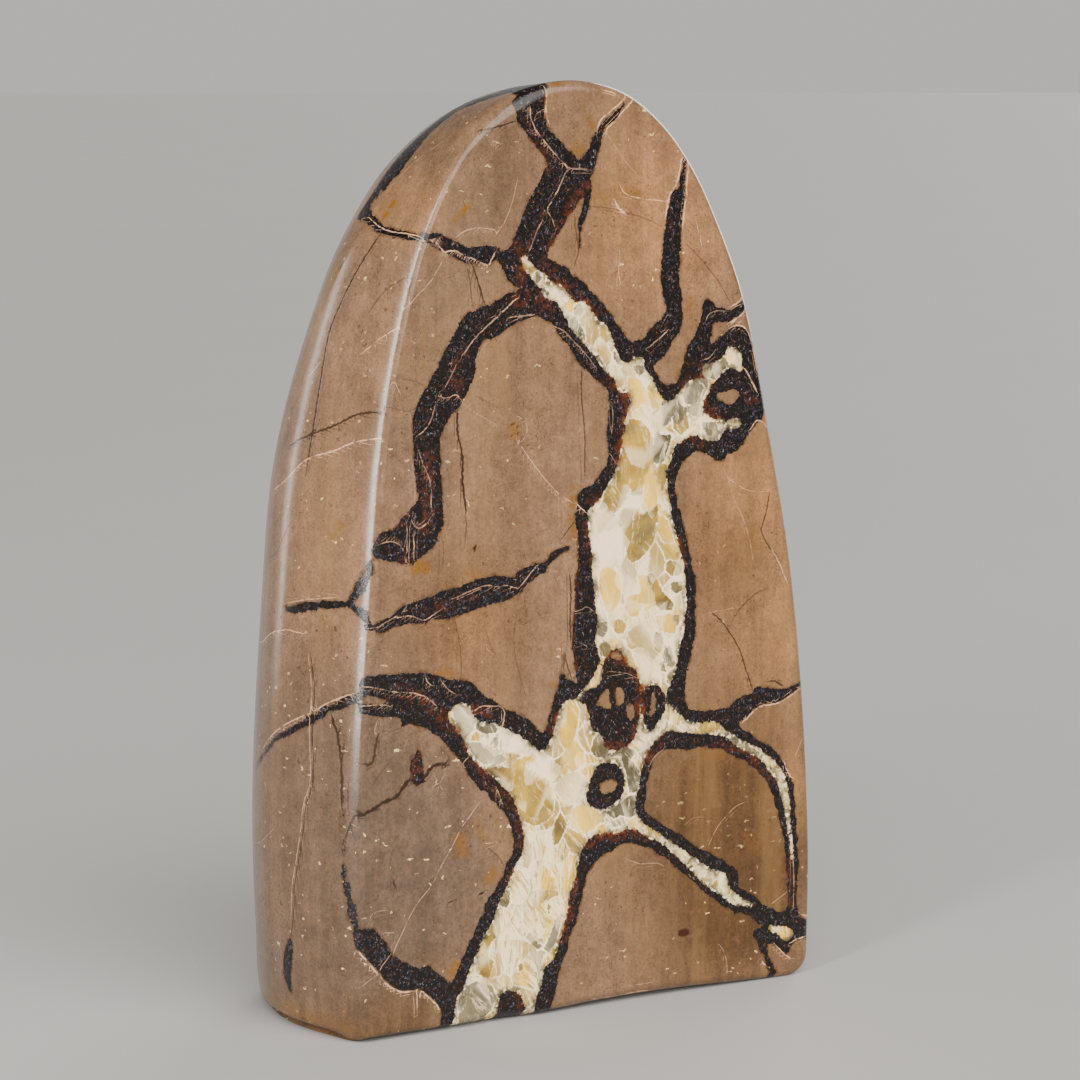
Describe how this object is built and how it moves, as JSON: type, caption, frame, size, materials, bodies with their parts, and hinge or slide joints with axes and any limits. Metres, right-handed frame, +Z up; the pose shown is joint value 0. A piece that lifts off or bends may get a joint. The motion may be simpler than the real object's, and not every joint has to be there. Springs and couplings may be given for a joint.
{
  "type": "septarian nodule",
  "caption": "Polished free-standing septarian nodule with a pointed-arch outline, a flat polished front and a flat cut base, for display on a shelf or table.",
  "frame": {"origin": "middle of the footprint at the level of the cut base, where the stone stands", "axes": "+Z up along the stone's height, -Y the way the polished front faces, +X to the right of someone who looks at the front"},
  "size_m": [0.1802, 0.073, 0.2797],
  "materials": {
    "septarian_stone": "polished"
  },
  "bodies": {
    "root": {"septarian_stone": "septarian_stone"}
  },
  "joints": []
}
